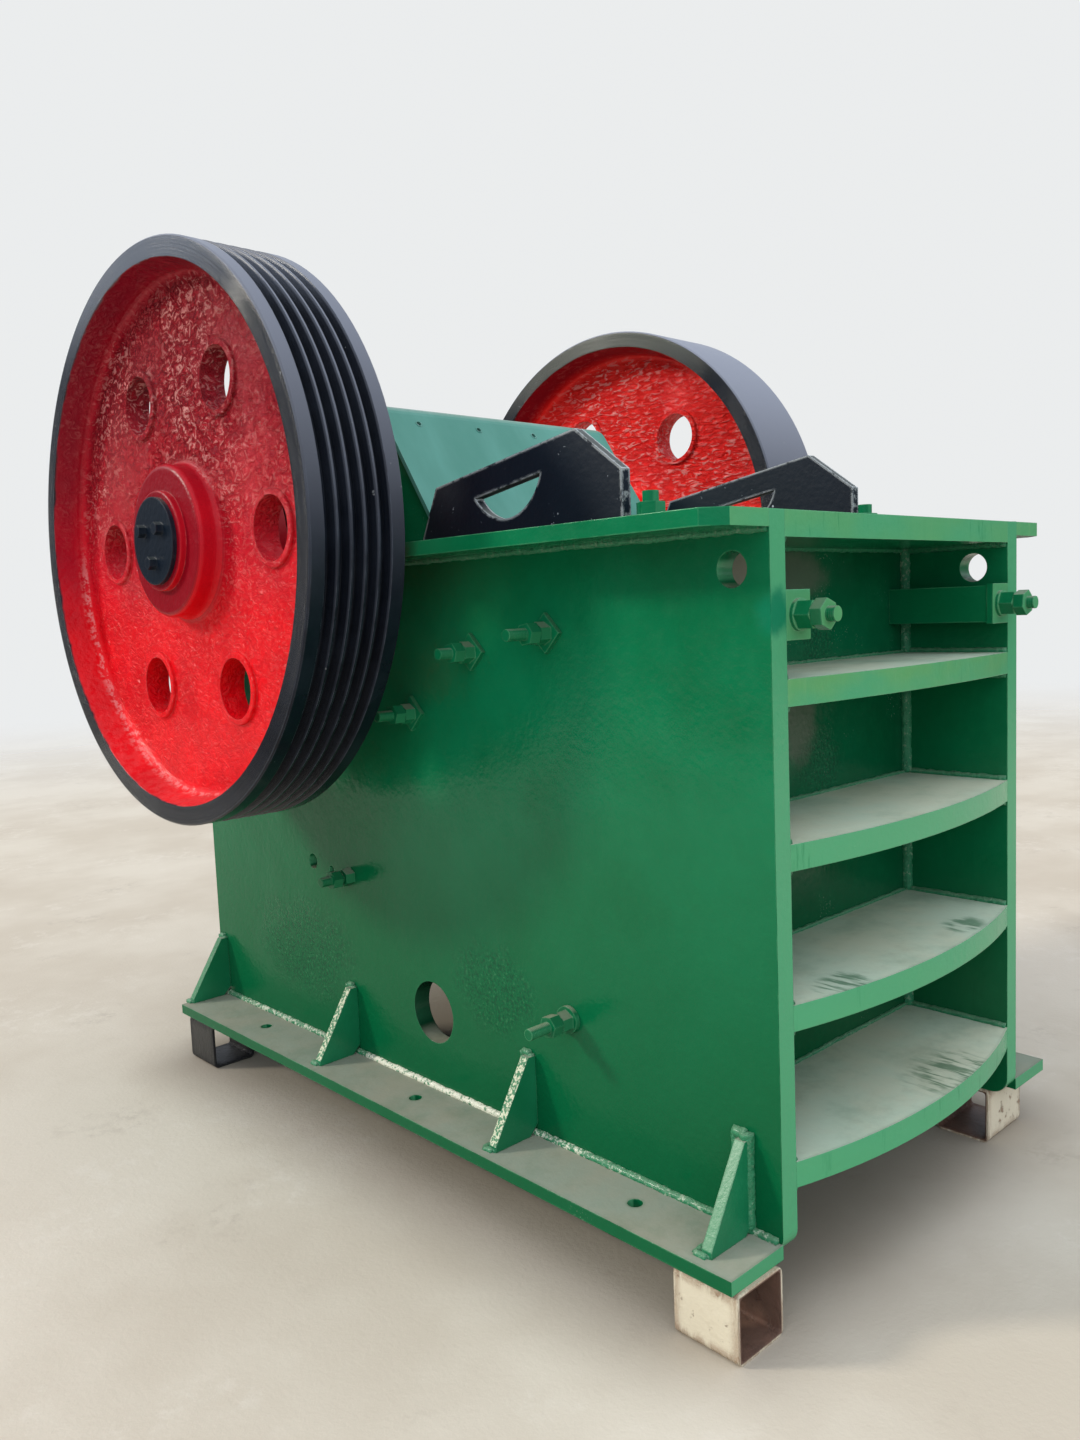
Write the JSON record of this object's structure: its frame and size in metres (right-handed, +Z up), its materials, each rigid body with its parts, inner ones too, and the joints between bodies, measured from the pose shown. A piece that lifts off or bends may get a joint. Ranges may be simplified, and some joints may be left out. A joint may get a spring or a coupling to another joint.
{
  "type": "jaw crusher",
  "caption": "Single-toggle jaw crusher: welded green frame with bowed front shelves, toothed jaws, a grooved drive wheel and a plain flywheel, standing on short square tubes.",
  "frame": {"origin": "on the ground under the middle of the machine's bounding box", "axes": "+X along the shaft with the grooved wheel on the -X side, -Y towards the ribbed front, +Z up"},
  "size_m": [2.01, 2.475, 2.435],
  "materials": {
    "green_paint": "glossy machine enamel with dust",
    "pale_green_paint": "satin pale green enamel",
    "wheel_casting": "glossy red enamel over rough casting, black machined rim",
    "black_paint": "satin black enamel",
    "manganese_steel": "cast, dusty",
    "bare_steel": "machined, oiled",
    "cream_paint": "old cream paint with rust"
  },
  "bodies": {
    "frame": {"side_plate_left": "green_paint", "side_plate_right": "green_paint", "front_wall": "green_paint", "front_top_plate": "green_paint", "front_rib_1": "green_paint", "front_rib_2": "green_paint", "front_rib_3": "green_paint", "front_rib_4": "green_paint", "top_flange_left": "green_paint", "top_flange_right": "green_paint", "base_flange_left": "green_paint", "base_flange_right": "green_paint", "gussets_left": "green_paint", "gussets_right": "green_paint", "rear_wall": "green_paint", "rear_ribs": "green_paint", "bearing_seat_left": "green_paint", "bearing_seat_right": "green_paint", "bearing_cap_left": "green_paint", "bearing_cap_right": "green_paint", "bearing_left": "black_paint", "bearing_right": "black_paint", "cheek_upper_left": "black_paint", "cheek_upper_right": "black_paint", "cheek_lower_left": "black_paint", "cheek_lower_right": "black_paint", "fixed_jaw_plate": "manganese_steel", "jaw_clamps": "green_paint", "clamp_bar_left": "green_paint", "clamp_bar_right": "green_paint", "side_studs_left": "green_paint", "side_studs_right": "green_paint", "support_tubes": "cream_paint", "adjusting_block": "green_paint", "toggle_plate": "bare_steel", "tension_spring": "black_paint", "tension_rod": "bare_steel"},
    "rotor": {"eccentric_shaft": "bare_steel", "grooved_flywheel": "wheel_casting", "plain_flywheel": "wheel_casting", "end_disc_left": "black_paint", "end_disc_right": "black_paint"},
    "swing_jaw": {"pitman": "green_paint", "guard_plate": "pale_green_paint", "moving_jaw_plate": "manganese_steel"}
  },
  "joints": [
    {"name": "shaft_spin", "type": "hinge", "parent": "frame", "child": "rotor", "pos_m": [0, 0.4775, 1.675], "axis": [1, 0, 0], "continuous": true},
    {"name": "jaw_swing", "type": "hinge", "parent": "rotor", "child": "swing_jaw", "pos_m": [0, 0.4775, 1.661], "axis": [1, 0, 0], "continuous": true}
  ],
  "couplings": [
    {"joint": "jaw_swing", "follows": "shaft_spin", "ratio": -1}
  ]
}
